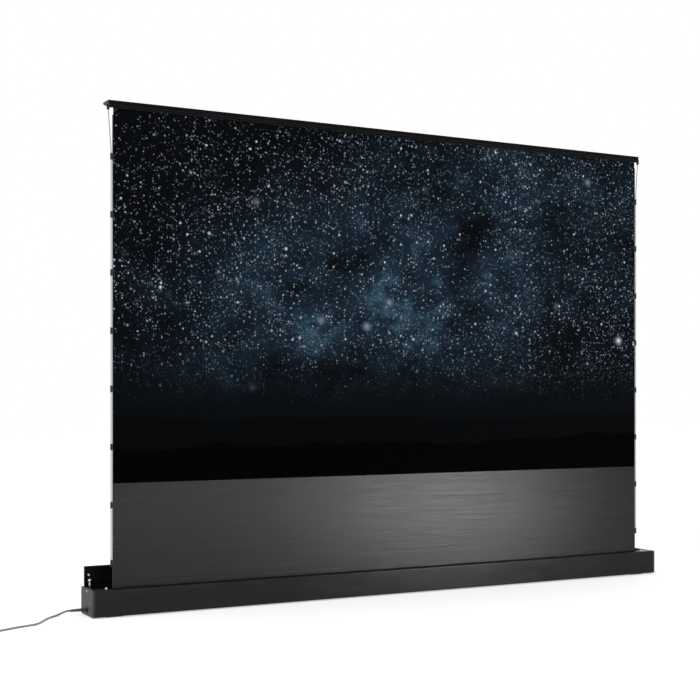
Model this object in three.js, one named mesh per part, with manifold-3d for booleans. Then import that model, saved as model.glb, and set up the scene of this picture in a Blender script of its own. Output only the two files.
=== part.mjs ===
// Floor-rising, tab-tensioned projection screen.
// A low extruded base holds the roller, its tube motor and two sprung knee arms. The arms push a
// top bar up, the fabric unrolls behind the front wall, and a hinged lid stands open behind it.
// Millimetres. +X is the viewer's right, +Y the rear, +Z up, with the origin on the floor under the
// middle of the base. The screen is modelled raised, with its lid open.
import * as THREE from "three";
import { mergeVertices } from "three/addons/utils/BufferGeometryUtils.js";
import Module from "manifold-3d";

const wasm = await Module();
wasm.setup();

// General
const seat = 0.3; // gap between pieces that touch
const overrun = 1; // how far a cutter passes the face that it cuts
const roundSides = 32;
const smallSides = 18;
const smallRadius = 12; // below it, round shapes take the smaller number of sides
const cornerSteps = 4;
const edgeRadius = 1; // broken edges of plates and bars
const cornerRadius = 2;

// Screen
const fabricWidth = 2264;
const fabricThickness = 0.8;
const fabricSetback = 33; // behind the base's front face
const pictureBottom = 450;
const raisedAngle = 79.009; // of the arms above level, in degrees, with the screen raised
const loweredDrop = 5.6; // the rolled-away top bar's upper face, below the base's top

// Base housing
const baseRise = 23.6; // base's top above the arms' lower pivots
const baseWall = 2.5;
const baseReach = 81; // base beyond the fabric's edge
const lipDepth = 14;
const frontTopRadius = 6;
const frontBottomRadius = 3;
const rearRadius = 6;
const footHeight = 4;
const footLength = 60;
const footWidth = 24;
const footInset = 51; // foot's outer end from the base's end
const footSetback = 30; // foot's middle from the housing's long side
const footRounding = 6;
const railHeight = 3;
const railWidth = 2;
const railSpan = 30; // clear width of the floor slot between the rails
const railGap = 3.7; // rolled fabric to the slot
const railInset = 13; // rear rail's back to the base's rear face

// End caps and their screws
const capThickness = 8.7;
const capBevel = 0.8;
const lugReach = 10;
const lugThickness = 3;
const lugHeight = 50;
const lugBottom = 20;
const screwSetback = 68; // cap screw behind the base's front face
const screwDrop = 9.6; // below the base's top
const screwHeadRadius = 4;
const screwHeadHeight = 1.2;
const screwRadius = 1.5;
const screwSlotWidth = 0.9;
const screwSlotDepth = 0.7;
const domeShares = [[1, 0], [0.85, 0.7], [0.45, 1], [0, 1]]; // of the head's radius and height

// Lid and its hinge
const lidThickness = 2.5;
const lidDepth = 73.4; // hinge axis to the front edge
const hingeRadius = 6; // rolled edge of the lid
const beadRadius = 3.3;
const neckWidth = 2;
const hingeInset = 6.3; // axis in front of the base's rear face
const mouthFrom = 25; // degrees above the rear, where the rolled edge ends
const mouthTo = 245;
const lidEndGap = 0.8;
const lidLip = 2.1;
const lidRibDepth = 5;
const lidRibPlace = 14.7; // in front of the hinge axis
const strapWidth = 10;
const strapThickness = 1.5;
const strapInset = 18; // strap's middle inside the fabric's edge
const strapMargin = 2.5;
const strapRivetRadius = 2;
const strapRivetHeight = 0.6;

// Lid stays
const stayInset = 25; // stay's middle from the base's end
const ballPlace = 25.4; // ball's centre in front of the hinge axis, lid closed
const ballDrop = 10.7; // and below it
const ballRadius = 4.5;
const studRadius = 2.4;
const socketRadius = 6.5;
const stayRadius = 3.6;
const stayLength = 69;
const stayFootRadius = 5;
const stayFootHeight = 6;
const bracketWidth = 12;
const bracketThickness = 1.8;
const bracketRounding = 3;
const bracketAhead = 24;
const bracketBehind = 7;
const ringRadius = 3.4;
const ringPlace = 18; // rivet ring in front of the ball
const ringHeight = 1;
const ringDimple = 0.8;

// Roller
const rollerLift = 2.7; // rolled fabric above the housing's floor
const tubeRadius = 22.5;
const tubeWall = 2;
const wrapThickness = 2;
const tubeReach = 8; // tube beyond the fabric's edge
const motorClearance = 2; // motor to the tube's bore
const motorLength = 540;
const motorHeadStep = 1.5; // motor head inside the tube's outline
const motorHeadLength = 11.5;
const stubRadius = 5;
const stubReach = 4; // past the bracket's web
const adapterLength = 15;
const adapterWall = 3;
const plugLength = 40;
const flangeThickness = 2.7;

// Roller brackets and end covers
const plateThickness = 3;
const webGap = 4.4; // top bar's end to the bracket's web
const webFront = 16; // behind the base's front face
const webDepth = 62;
const coverGap = 1.6; // end cover's rear edge to the closed lid
const footPlate = 35;
const flangeReach = 16;
const tieRadius = 4;
const coverScrewRadius = 4.5;
const coverScrewHeight = 5;
const coverScrewPlace = 3.2; // from the cover's inner edge
const coverScrewSetback = 23;

// Knee arms
const armClearance = 85; // from a folded arm's elbow to the middle
const armWidth = 24;
const armThickness = 6.5;
const armGap = 0.5;
const pinRadius = 4;
const pivotInset = 202; // from the fabric's edge to the base pivot
const pivotRise = 13.2; // above the rolled fabric
const earThickness = 2;
const earGap = 1; // fabric to the top bar's ear
const earWidth = 30;
const pinHeadRadius = 6.5;
const pinHeadThickness = 1.5;
const grooveWidth = 12;
const grooveDepth = 1.6;
const grooveMargin = 40; // from a pivot to the groove's end

// Arm brackets and lift springs
const bracketLength = 60;
const bracketRise = 8; // ear above the pivot
const shelfDrop = 8; // pivot to the shelf under it
const bracketEarSpan = 24.1; // between the two ears
const bracketCorner = 10;
const springTurns = 6.5;
const springRadius = 6;
const springWire = 1.1;
const springSpan = 20;

// Top bar
const topBarReach = 18.6; // beyond the fabric's edge
const topBarDepth = 56;
const topBarHeight = 25;
const topBarPlate = 3;
const topBarAhead = 5; // front face ahead of the fabric's plane
const topBarLip = 6;
const topBarRib = 7;
const topBarRibPlace = 30; // behind the front face
const topBarRibWidth = 2;
const grooveTop = 15; // the face groove's top edge, below the bar's top
const faceStep = 1.5;
const footBand = 3;
const topCapThickness = 3;
const tipHeight = 6;

// Edge tabs and tension cords
const stripWidth = 2.7;
const stripThickness = 1.2;
const stripDrop = 49; // strip's upper end below the raised top
const stripBottom = 60;
const tabHeight = 22;
const tabThickness = 1.6;
const tabCount = 8;
const lowestTab = 180;
const highestTabDrop = 190; // below the raised top
const cordOut = 4; // cord's middle outside the strip
const tensionCordRadius = 2;
const eyeletRadius = 3.3;
const eyeletBore = 2.3;
const anchorWidth = 8;
const anchorReach = 2.4;
const anchorHeight = 18;
const anchorFoot = 6.5;
const anchorInset = 1.5; // cord's end inside the top bar's end

// Control unit
const unitLength = 170;
const unitDepth = 23;
const unitHeight = 39;
const unitPlace = 103; // outer end inside the base's end
const unitCorner = 3;
const unitSetback = 3; // from the front wall
const unitGlandRadius = 3;
const unitGlandReach = 3;
const glandShares = [0.25, 0.5, 0.75]; // places of its glands up the unit

// Service socket in the left end cap
const socketWidth = 30;
const socketHeight = 24;
const socketRise = 22;
const socketSetback = 67;
const socketRecess = 0.8;
const socketWall = 5;
const socketPocket = 4;
const socketDepth = 7;

// Mains cord
const cordRadius = 3.5;
const cordSides = 12;
const cordStepShare = 4.4; // length of its steps, of its radius
const cordLift = 0.1; // of a lying cord, off the floor
const exitInset = 8.5; // cord's middle from the base's rear face
const glandRadius = 5;
const reliefRadius = 6;
const reliefCollar = 5;
const reliefShoulder = 1;
const reliefLength = 40;
const reliefTip = 4.6;
const reliefRings = 4;
const reliefGroove = 0.9;
const coilTurnsHalf = 3.25;
const coilGap = 0.6; // between turns
const coilInner = 28;
const coilSteps = 24;
const coilSides = 6;
const coilTail = 50;
const tailShares = [0.15, 0.3, 0.45, 0.6, 0.75, 0.9, 1];
const tailFall = [0.25, 0.85]; // shares of the tail between which it comes down
const plugBodyLength = 36;
const plugWidth = 27;
const plugWaist = 14;
const plugThickness = 13.7;
const plugCollar = 14;
const plugWaistShare = 0.5; // of its length, where the waist ends
const plugFlareShare = 0.75; // and where its full width starts
const plugWaistRadius = 5;
const plugFlareRadius = 4;
const plugBevel = 1.5;
const plugPinRadius = 2;
const plugPinLength = 19;
const plugPinSpacing = 19;
// The cord's free stretch: out from the strain relief's end, back from its exit, and the rise of its
// middle over a cord that lies on the floor.
const cordRoute = [
  [0.5, 0, 11.4],
  [9, 0, 11.4],
  [21, 0.2, 9],
  [34, -1.5, 4.4],
  [50, -9.5, 0.8],
  [70, -25.5, 0],
  [91, -49.5, 0],
  [112, -81.5, 0],
  [133, -115.5, 0],
  [155, -143.5, 0],
  [185, -158.5, 0],
  [222, -172.5, 0],
  [252, -188.5, 0],
  [278, -202.5, 0],
  [301, -214.9, 0],
  [324, -227.3, 0],
];

// Places worked out from the sizes
const fabricHalf = fabricWidth / 2;
const baseHalf = fabricHalf + baseReach;
const housingHalf = baseHalf - capThickness - seat;
const floorTop = footHeight + baseWall;
const wrapRadius = tubeRadius + seat + wrapThickness;
const rollerHeight = floorTop + rollerLift + wrapRadius;
const pivotHeight = rollerHeight + wrapRadius + pivotRise;
const baseTop = pivotHeight + baseRise;
const motorRadius = tubeRadius - tubeWall - motorClearance;
const motorHeadRadius = tubeRadius - motorHeadStep;
const fabricToRail = fabricThickness / 2 + seat + 2 * wrapRadius + railGap;
const baseDepth = fabricSetback + fabricToRail + railSpan + railWidth + railInset;
const baseFront = -baseDepth / 2;
const baseRear = baseDepth / 2;
const fabricY = baseFront + fabricSetback;
const railY = fabricY + fabricToRail; // front side of the clear floor slot
const hingeY = baseRear - hingeInset;
const hingeZ = baseTop - hingeRadius;
const coverRear = hingeY - lidDepth - coverGap;
const rollerY = fabricY + fabricThickness / 2 + seat + wrapRadius;
const earFront = fabricY + fabricThickness / 2 + earGap;
const upperArmFront = earFront + earThickness + armGap;
const lowerArmFront = upperArmFront + armThickness + armGap;
const bracketFront = lowerArmFront + armThickness + armGap;
const pivotX = fabricHalf - pivotInset;
const armLength = pivotX - armClearance;
const armAngle = THREE.MathUtils.degToRad(raisedAngle);
const loweredTop = baseTop - loweredDrop;
const raisedTop = loweredTop + 2 * armLength * Math.sin(armAngle);
const pivotDrop = loweredTop - pivotHeight;
const elbowX = pivotX - armLength * Math.cos(armAngle);
const elbowZ = pivotHeight + armLength * Math.sin(armAngle);
const topBarHalf = fabricHalf + topBarReach;
const topBarFront = fabricY - topBarAhead;
const webX = topBarHalf + webGap;
const tubeHalf = fabricHalf + tubeReach;
const cordX = fabricHalf + seat + stripWidth + cordOut;
const anchorX = topBarHalf - anchorInset;
const stripTop = raisedTop - stripDrop;
const highestTab = raisedTop - highestTabDrop;
const stayX = baseHalf - stayInset;
const cordFloor = cordRadius + cordLift;
const exitHeight = cordFloor + cordRoute[0][2];
const coilPitch = 2 * cordRadius + coilGap;

const screen = new THREE.Group();

// Finishes
const finish = (color, roughness, metalness) =>
  new THREE.MeshStandardMaterial({ color, roughness, metalness });
const charcoal = finish("#3a3b3d", 0.45, 0.6);
const greyCap = finish("#5e5f61", 0.5, 0.3);
const blackMetal = finish("#1c1d1f", 0.5, 0.5);
const silver = finish("#c9cbcd", 0.25, 1);
const armSilver = finish("#8f9296", 0.4, 0.9);
const blackPlastic = finish("#1b1b1c", 0.6, 0);
const rubber = finish("#161616", 0.9, 0);
const pictureCloth = finish("#1d2430", 0.8, 0);
const blackCloth = finish("#2b2b2c", 0.85, 0);
const cordGrey = finish("#77787a", 0.6, 0);

// Solids

// Shares a closed geometry's vertices and turns it into a solid.
function solidFrom(geometry) {
  const bare = geometry.clone();
  bare.deleteAttribute("normal");
  bare.deleteAttribute("uv");
  const merged = mergeVertices(bare, 1e-4);
  return new wasm.Manifold(
    new wasm.Mesh({
      numProp: 3,
      vertProperties: new Float32Array(merged.attributes.position.array),
      triVerts: new Uint32Array(merged.index.array),
    }),
  );
}

function geometryFrom(solid) {
  const mesh = solid.getMesh();
  const geometry = new THREE.BufferGeometry();
  geometry.setAttribute("position", new THREE.BufferAttribute(mesh.vertProperties, 3));
  geometry.setIndex(new THREE.BufferAttribute(mesh.triVerts, 1));
  const flat = geometry.toNonIndexed();
  flat.computeVertexNormals();
  return flat;
}

function join(first, ...others) {
  const sum = others.reduce((total, part) => total.add(solidFrom(part)), solidFrom(first));
  return geometryFrom(sum);
}

function cut(first, ...cutters) {
  const rest = cutters.reduce((left, part) => left.subtract(solidFrom(part)), solidFrom(first));
  return geometryFrom(rest);
}

function common(first, second) {
  return geometryFrom(solidFrom(first).intersect(solidFrom(second)));
}

// A closed outline from corners [across, up, radius], with its round corners as curves.
function outline(corners) {
  const shape = new THREE.Shape();
  corners.forEach(([x, y, radius = 0], i) => {
    const corner = new THREE.Vector2(x, y);
    const before = corners.at(i - 1);
    const after = corners[(i + 1) % corners.length];
    const enter = new THREE.Vector2(before[0], before[1]).sub(corner).setLength(radius).add(corner);
    const leave = new THREE.Vector2(after[0], after[1]).sub(corner).setLength(radius).add(corner);
    if (i === 0) shape.moveTo(enter.x, enter.y);
    else shape.lineTo(enter.x, enter.y);
    if (radius > 0) shape.quadraticCurveTo(x, y, leave.x, leave.y);
  });
  return shape;
}

function rectangle(x0, x1, y0, y1, radius = 0) {
  return outline([
    [x0, y0, radius],
    [x1, y0, radius],
    [x1, y1, radius],
    [x0, y1, radius],
  ]);
}

function circle(radius, x = 0, y = 0, sides = radius < smallRadius ? smallSides : roundSides) {
  const shape = new THREE.Shape();
  for (let i = 0; i < sides; i++) {
    const turn = (2 * Math.PI * i) / sides;
    const point = [x + radius * Math.cos(turn), y + radius * Math.sin(turn)];
    if (i === 0) shape.moveTo(...point);
    else shape.lineTo(...point);
  }
  return shape;
}

// A long shape with round ends, from one centre to the other along its own X.
function stadium(from, to, radius) {
  const shape = new THREE.Shape();
  shape.absarc(to, 0, radius, -Math.PI / 2, Math.PI / 2, false);
  shape.absarc(from, 0, radius, Math.PI / 2, (3 * Math.PI) / 2, false);
  return shape;
}

function prism(shape, length, bevel = 0) {
  const settings = { depth: length - 2 * bevel, curveSegments: cornerSteps, bevelEnabled: bevel > 0 };
  Object.assign(settings, { bevelThickness: bevel, bevelSize: bevel, bevelOffset: -bevel });
  settings.bevelSegments = 1;
  return new THREE.ExtrudeGeometry(shape, settings).translate(0, 0, bevel);
}

const acrossBase = new THREE.Matrix4().makeBasis(
  new THREE.Vector3(0, 1, 0),
  new THREE.Vector3(0, 0, 1),
  new THREE.Vector3(1, 0, 0),
);
const towardsRear = new THREE.Matrix4().makeBasis(
  new THREE.Vector3(1, 0, 0),
  new THREE.Vector3(0, 0, 1),
  new THREE.Vector3(0, -1, 0),
);

// Prisms between two places: a Y-Z section along X, an X-Z section along Y, an X-Y section along Z.
const alongX = (shape, x0, x1, bevel = 0) =>
  prism(shape, x1 - x0, bevel).applyMatrix4(acrossBase).translate(x0, 0, 0);
const alongY = (shape, y0, y1, bevel = 0) =>
  prism(shape, y1 - y0, bevel).applyMatrix4(towardsRear).translate(0, y1, 0);
const alongZ = (shape, z0, z1, bevel = 0) => prism(shape, z1 - z0, bevel).translate(0, 0, z0);
const block = (x0, x1, y0, y1, z0, z1) => alongZ(rectangle(x0, x1, y0, y1), z0, z1);

// Round bars between two places, centred on the other two coordinates.
const barX = (radius, x0, x1, y, z) => alongX(circle(radius, y, z), x0, x1);
const barY = (radius, y0, y1, x, z) => alongY(circle(radius, x, z), y0, y1);
const barZ = (radius, z0, z1, x, y) => alongZ(circle(radius, x, y), z0, z1);

// A turned piece: [radius, place] pairs along the given direction.
function turned(profile, direction, sides = smallSides) {
  const points = profile.map(([radius, place]) => new THREE.Vector2(radius, place));
  const geometry = new THREE.LatheGeometry(points, sides);
  const turn = new THREE.Quaternion().setFromUnitVectors(new THREE.Vector3(0, 1, 0), direction);
  return geometry.applyQuaternion(turn);
}

function tube(path, radius, sides, steps) {
  const settings = { steps, extrudePath: path, bevelEnabled: false };
  return new THREE.ExtrudeGeometry(circle(radius, 0, 0, sides), settings);
}

// The same piece on the other side of the middle.
function mirrored(geometry) {
  return geometryFrom(solidFrom(geometry).mirror([1, 0, 0]));
}

function add(name, geometry, material, group = screen) {
  const mesh = new THREE.Mesh(geometry, material);
  mesh.name = name;
  group.add(mesh);
  return mesh;
}

// A piece made on the left is placed there and mirrored to the right.
function addPair(name, left, material, group = screen) {
  add(name + "_left", left, material, group);
  add(name + "_right", mirrored(left), material, group);
}

// Base housing: one open-topped extrusion with a front lip, floor rails and the hinge bead
function housing() {
  const inner = baseWall;
  const shelfTop = hingeZ - hingeRadius - 2 * seat;
  const section = outline([
    [baseFront + lipDepth, baseTop],
    [baseFront, baseTop, frontTopRadius],
    [baseFront, footHeight, frontBottomRadius],
    [baseRear, footHeight, rearRadius],
    [baseRear, shelfTop],
    [hingeY + neckWidth / 2, shelfTop],
    [hingeY + neckWidth / 2, hingeZ],
    [hingeY - neckWidth / 2, hingeZ],
    [hingeY - neckWidth / 2, shelfTop - inner],
    [baseRear - inner, shelfTop - inner],
    [baseRear - inner, floorTop, rearRadius - inner],
    [baseFront + inner, floorTop],
    [baseFront + inner, baseTop - inner, frontTopRadius - inner],
    [baseFront + lipDepth, baseTop - inner],
  ]);
  const ends = [-housingHalf, housingHalf];
  const railTop = floorTop + railHeight;
  const bottom = footHeight + inner / 2;
  const rails = [railY - railWidth, railY + railSpan].map((y) =>
    alongX(rectangle(y, y + railWidth, bottom, railTop), ...ends),
  );
  return join(alongX(section, ...ends), barX(beadRadius, ...ends, hingeY, hingeZ), ...rails);
}

// End cap: the housing's outline, bevelled, with push-in lugs
function endCap(hasOutlets) {
  const inside = -baseHalf + capThickness;
  const section = outline([
    [baseFront, footHeight, frontBottomRadius],
    [baseRear, footHeight, rearRadius],
    [baseRear, baseTop, hingeRadius],
    [baseFront, baseTop, frontTopRadius],
  ]);
  const plate = alongX(section, -baseHalf, inside, capBevel);
  const lugEnds = [inside - overrun, inside + lugReach];
  const wallInside = baseDepth / 2 - baseWall - seat;
  const lug = (y0) =>
    alongX(rectangle(y0, y0 + lugThickness, lugBottom, lugBottom + lugHeight), ...lugEnds);
  const cap = join(plate, lug(-wallInside), lug(wallInside - lugThickness));
  const outer = [-baseHalf - overrun, inside + overrun];
  const cutters = [barX(screwRadius + seat, ...outer, screwY, screwZ)];
  if (hasOutlets) {
    cutters.push(barX(glandRadius + seat, ...outer, exitY, exitHeight));
    cutters.push(alongX(socketOutline(seat), ...outer));
  }
  return cut(cap, ...cutters);
}
const screwY = baseFront + screwSetback;
const screwZ = baseTop - screwDrop;
const exitY = baseRear - exitInset;

// Oval outline of the service socket, larger by a margin
function socketOutline(margin) {
  const radius = socketHeight / 2 + margin;
  const reach = (socketWidth - socketHeight) / 2;
  const shape = new THREE.Shape();
  const y = baseFront + socketSetback;
  shape.absarc(y + reach, socketRise, radius, -Math.PI / 2, Math.PI / 2, false);
  shape.absarc(y - reach, socketRise, radius, Math.PI / 2, (3 * Math.PI) / 2, false);
  return shape;
}

function serviceSocket() {
  const front = -baseHalf + socketRecess;
  const body = alongX(socketOutline(0), front, front + socketDepth);
  const pocket = socketOutline(-socketWall);
  return cut(body, alongX(pocket, front - overrun, front + socketPocket));
}

// A domed screw head with a cross recess and its shank, pointing along a direction
function screw(headRadius, headHeight, shankLength, direction) {
  const dome = domeShares.map(([across, up]) => [headRadius * across, headHeight * up]);
  const shank = [[0, -shankLength], [screwRadius, -shankLength], [screwRadius, 0]];
  const body = turned([...shank, ...dome], new THREE.Vector3(0, 0, 1));
  const arm = headRadius / 2;
  const half = screwSlotWidth / 2;
  const low = headHeight - screwSlotDepth;
  const high = headHeight + overrun;
  const slots = [block(-arm, arm, -half, half, low, high), block(-half, half, -arm, arm, low, high)];
  const cross = cut(body, ...slots);
  const turn = new THREE.Quaternion().setFromUnitVectors(new THREE.Vector3(0, 0, 1), direction);
  return cross.applyQuaternion(turn);
}

// Four feet under the corners
function feet() {
  const x0 = baseHalf - footInset - footLength;
  for (const [side, from] of [["left", -x0 - footLength], ["right", x0]]) {
    for (const [place, y] of [["front", baseFront + footSetback], ["rear", baseRear - footSetback]]) {
      const pad = rectangle(from, from + footLength, y - footWidth / 2, y + footWidth / 2, footRounding);
      add("foot_" + place + "_" + side, alongZ(pad, 0, footHeight - seat), rubber);
    }
  }
}

// Roller bracket: a pressed channel with a bearing web, a foot and a tie to the end cap
function rollerBracket(boreRadius) {
  const y0 = baseFront + webFront;
  const floor = floorTop + seat;
  const top = baseTop - baseWall - seat;
  const x = -webX;
  const channel = outline([
    [x, floor],
    [x, top],
    [x - flangeReach, top],
    [x - flangeReach, top - plateThickness],
    [x - plateThickness, top - plateThickness],
    [x - plateThickness, floor + plateThickness],
    [x - footPlate, floor + plateThickness],
    [x - footPlate, floor],
  ]);
  const rearTop = top - plateThickness;
  const angle = outline([
    [x, floor],
    [x, rearTop],
    [x - plateThickness, rearTop],
    [x - plateThickness, floor + plateThickness],
    [x - footPlate, floor + plateThickness],
    [x - footPlate, floor],
  ]);
  const capInside = -baseHalf + capThickness + seat;
  const tie = barX(tieRadius, capInside, x - plateThickness / 2, screwY, screwZ);
  const body = join(alongY(channel, y0, coverRear), alongY(angle, coverRear - overrun, y0 + webDepth), tie);
  return cut(
    body,
    barX(boreRadius + seat, x - footPlate, x + overrun, rollerY, rollerHeight),
    barX(screwRadius + seat, capInside - overrun, capInside + capThickness + overrun, screwY, screwZ),
    barZ(screwRadius + seat, top - capThickness, baseTop, ...coverScrewXY),
  );
}
const coverInner = -webX + 0.5 * seat;
const coverScrewXY = [coverInner - coverScrewPlace - screwRadius, baseFront + coverScrewSetback];

// End cover: the flush plate beside the slot
function endCover() {
  const y0 = baseFront + lipDepth + seat;
  const x0 = -baseHalf + capThickness + seat;
  const plate = rectangle(x0, coverInner, y0, coverRear, edgeRadius);
  const cover = alongZ(plate, baseTop - baseWall, baseTop);
  return cut(
    cover,
    barZ(screwRadius + seat, baseTop - 2 * baseWall, baseTop + overrun, ...coverScrewXY),
  );
}

// Lid pieces stand in their own frame: the origin is on the hinge axis, with the lid closed.
function lidPanel() {
  const half = housingHalf + seat - lidEndGap;
  const ends = [-half, half];
  const under = hingeRadius - lidThickness;
  const plate = outline([
    [0, hingeRadius],
    [-lidDepth, hingeRadius, lidThickness / 2],
    [-lidDepth, under - lidLip],
    [-lidDepth + lidThickness, under - lidLip],
    [-lidDepth + lidThickness, under],
    [-lidRibPlace - neckWidth, under],
    [-lidRibPlace - neckWidth, under - lidRibDepth],
    [-lidRibPlace, under - lidRibDepth],
    [-lidRibPlace, under],
    [0, under],
  ]);
  const roll = new THREE.Shape();
  const degree = Math.PI / 180;
  const inner = beadRadius + seat;
  roll.absarc(0, 0, hingeRadius, mouthFrom * degree, mouthTo * degree, false);
  roll.absarc(0, 0, inner, mouthTo * degree, mouthFrom * degree, true);
  const rolled = new THREE.ExtrudeGeometry(roll, {
    depth: 2 * half,
    curveSegments: smallSides,
    bevelEnabled: false,
  })
    .applyMatrix4(acrossBase)
    .translate(-half, 0, 0);
  return cut(join(alongX(plate, ...ends), rolled), barX(inner, ends[0] - overrun, ends[1] + overrun, 0, 0));
}

function lidStrap() {
  const under = hingeRadius - lidThickness - seat;
  const x = -(fabricHalf - strapInset);
  const y0 = -lidDepth + lidThickness + strapMargin;
  const y1 = -lidRibPlace - neckWidth - strapMargin;
  const half = strapWidth / 2;
  const strip = alongZ(rectangle(x - half, x + half, y0, y1, cornerRadius), under - strapThickness, under);
  const rivets = [y0 + half, y1 - half].map((y) =>
    barZ(strapRivetRadius, under - strapThickness - strapRivetHeight, under - strapThickness / 2, x, y),
  );
  return join(strip, ...rivets);
}

// Stay bracket: a riveted plate on the lid with a ball on a stud
function stayBracket() {
  const under = hingeRadius - lidThickness - seat;
  const x = -stayX;
  const half = bracketWidth / 2;
  const y = -ballPlace;
  const plate = alongZ(
    rectangle(x - half, x + half, y - bracketAhead, y + bracketBehind, bracketRounding),
    under - bracketThickness,
    under,
  );
  const ballZ = -ballDrop;
  const stud = barZ(studRadius, ballZ, under - bracketThickness / 2, x, y);
  const ball = new THREE.SphereGeometry(ballRadius, 16, 10).translate(x, y, ballZ);
  const ringY = y - ringPlace;
  const ringLow = under - bracketThickness - ringHeight;
  const ring = barZ(ringRadius, ringLow, under - bracketThickness / 2, x, ringY);
  const dimple = barZ(ringRadius / 2, ringLow - overrun, ringLow + ringDimple, x, ringY);
  return cut(join(plate, stud, ball, ring), dimple);
}

// Lid stay: a rod with a ball socket, open where the stud swings from the rear to the top
function lidStay(x, y, z) {
  const low = z - stayLength;
  const head = new THREE.SphereGeometry(socketRadius, 18, 12).translate(x, y, z);
  const rod = barZ(stayRadius, low, z - ballRadius - seat, x, y);
  const foot = alongZ(circle(stayFootRadius, x, y), low, low + stayFootHeight, capBevel);
  const pocket = new THREE.SphereGeometry(ballRadius + seat, 16, 10).translate(x, y, z);
  const half = studRadius + 2 * seat;
  const reach = socketRadius + overrun;
  const slot = block(x - half, x + half, y - half, y + reach, z - half, z + reach);
  return cut(join(head, rod, foot), pocket, slot);
}

// Roller: tube, wrapped fabric, motor and end fittings
function roller() {
  const axis = [rollerY, rollerHeight];
  const bore = tubeRadius - tubeWall;
  const fitting = bore - seat;
  const motorEnd = -webX + seat;
  const ring = (outer, inner) => {
    const shape = circle(outer, ...axis);
    shape.holes.push(circle(inner, ...axis));
    return shape;
  };
  add("roller_tube", alongX(ring(tubeRadius, bore), -tubeHalf, tubeHalf), armSilver);
  add("fabric_wrap", alongX(ring(wrapRadius, tubeRadius + seat), -fabricHalf, fabricHalf), blackCloth);
  const headEnd = motorEnd + motorHeadLength;
  const motor = join(
    barX(motorHeadRadius, motorEnd, headEnd, ...axis),
    barX(motorRadius, headEnd - overrun, headEnd + motorLength, ...axis),
    barX(stubRadius, -webX - plateThickness - stubReach, motorEnd + overrun, ...axis),
  );
  add("tube_motor", motor, armSilver);
  const adapterFrom = headEnd + motorLength + seat;
  add("drive_adapter", spokedWheel(fitting, adapterFrom, adapterFrom + adapterLength), blackPlastic);
  const plug = join(
    barX(fitting, tubeHalf - plugLength, tubeHalf + overrun, ...axis),
    barX(tubeRadius, tubeHalf + seat, tubeHalf + seat + flangeThickness, ...axis),
    barX(stubRadius, tubeHalf, webX + plateThickness + stubReach, ...axis),
  );
  add("idler_plug", plug, blackPlastic);
}

// Drive adapter: a hub, spokes and a rim that grips the tube
function spokedWheel(radius, x0, x1) {
  const rim = circle(radius, rollerY, rollerHeight);
  rim.holes.push(circle(radius - adapterWall, rollerY, rollerHeight));
  const reach = radius - adapterWall / 2;
  const half = adapterWall / 2;
  const spokes = [0, 1, 2].map((i) =>
    alongX(rectangle(-reach, reach, -half, half), x0, x1)
      .rotateX((i * Math.PI) / 3)
      .translate(0, rollerY, rollerHeight),
  );
  return join(alongX(rim, x0, x1), barX(radius / 3, x0, x1, rollerY, rollerHeight), ...spokes);
}

// Arm bracket: a cranked plate over the roller with two ears for the base pin
function armBracket() {
  const earBack = bracketFront + plateThickness;
  const rearEar = earBack + bracketEarSpan;
  const shelf = pivotHeight - shelfDrop;
  const top = pivotHeight + bracketRise;
  const floor = floorTop + seat;
  const legY = railY + seat;
  const footEnd = railY + railSpan - seat;
  const half = bracketLength / 2;
  const plate = (y0, y1, z0, z1) => alongX(rectangle(y0, y1, z0, z1), -pivotX - half, -pivotX + half);
  const under = shelf - plateThickness;
  const body = join(
    plate(legY, footEnd, floor, floor + plateThickness),
    plate(legY, legY + plateThickness, floor, shelf),
    plate(bracketFront, legY + plateThickness, under, shelf),
    plate(bracketFront, rearEar + plateThickness, under, shelf),
    plate(bracketFront, earBack, under, top),
    plate(rearEar, rearEar + plateThickness, under, top),
  );
  const front = outline([
    [-pivotX - half, floor - overrun],
    [-pivotX + half, floor - overrun],
    [-pivotX + half, top, bracketCorner],
    [-pivotX - half, top, bracketCorner],
  ]);
  const shaped = common(body, alongY(front, baseFront, baseRear));
  const boreEnd = rearEar + plateThickness + overrun;
  return cut(shaped, barY(pinRadius + seat, bracketFront - overrun, boreEnd, -pivotX, pivotHeight));
}

// Base pin: flush with the lower arm's front face, headed behind the rear ear
function basePin() {
  const rear = bracketFront + 2 * plateThickness + bracketEarSpan + seat;
  return join(
    barY(pinRadius, lowerArmFront + seat, rear + overrun, -pivotX, pivotHeight),
    barY(pinHeadRadius, rear, rear + pinHeadThickness, -pivotX, pivotHeight),
  );
}

// Lift spring: a torsion spring round the base pin, with both legs down on the shelf
class SpringLine extends THREE.Curve {
  getPoint(t) {
    const leg = shelfDrop - seat;
    const around = 2 * Math.PI * springTurns * springRadius;
    const along = t * (around + 2 * leg);
    const share = THREE.MathUtils.clamp((along - leg) / around, 0, 1);
    const turn = share * 2 * Math.PI * springTurns;
    const below = Math.min(0, along - leg) + Math.min(0, around + leg - along);
    const middle = bracketFront + plateThickness + bracketEarSpan / 2;
    return new THREE.Vector3(
      -pivotX - springRadius * Math.cos(turn),
      middle + (share - 1 / 2) * springSpan,
      pivotHeight + springRadius * Math.sin(turn) + below,
    );
  }
}

function liftSpring() {
  return tube(new SpringLine(), springWire, 5, Math.round(springTurns * 8) + 6);
}

// One arm bar from its pivot along +X, with its long groove in the rear face
function armBar(front) {
  const bar = stadium(0, armLength, armWidth / 2);
  bar.holes.push(circle(pinRadius + seat), circle(pinRadius + seat, armLength));
  const rear = front + armThickness;
  const groove = alongY(
    stadium(grooveMargin, armLength - grooveMargin, grooveWidth / 2),
    rear - grooveDepth,
    rear + overrun,
  );
  return cut(alongY(bar, front, rear), groove);
}

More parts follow.
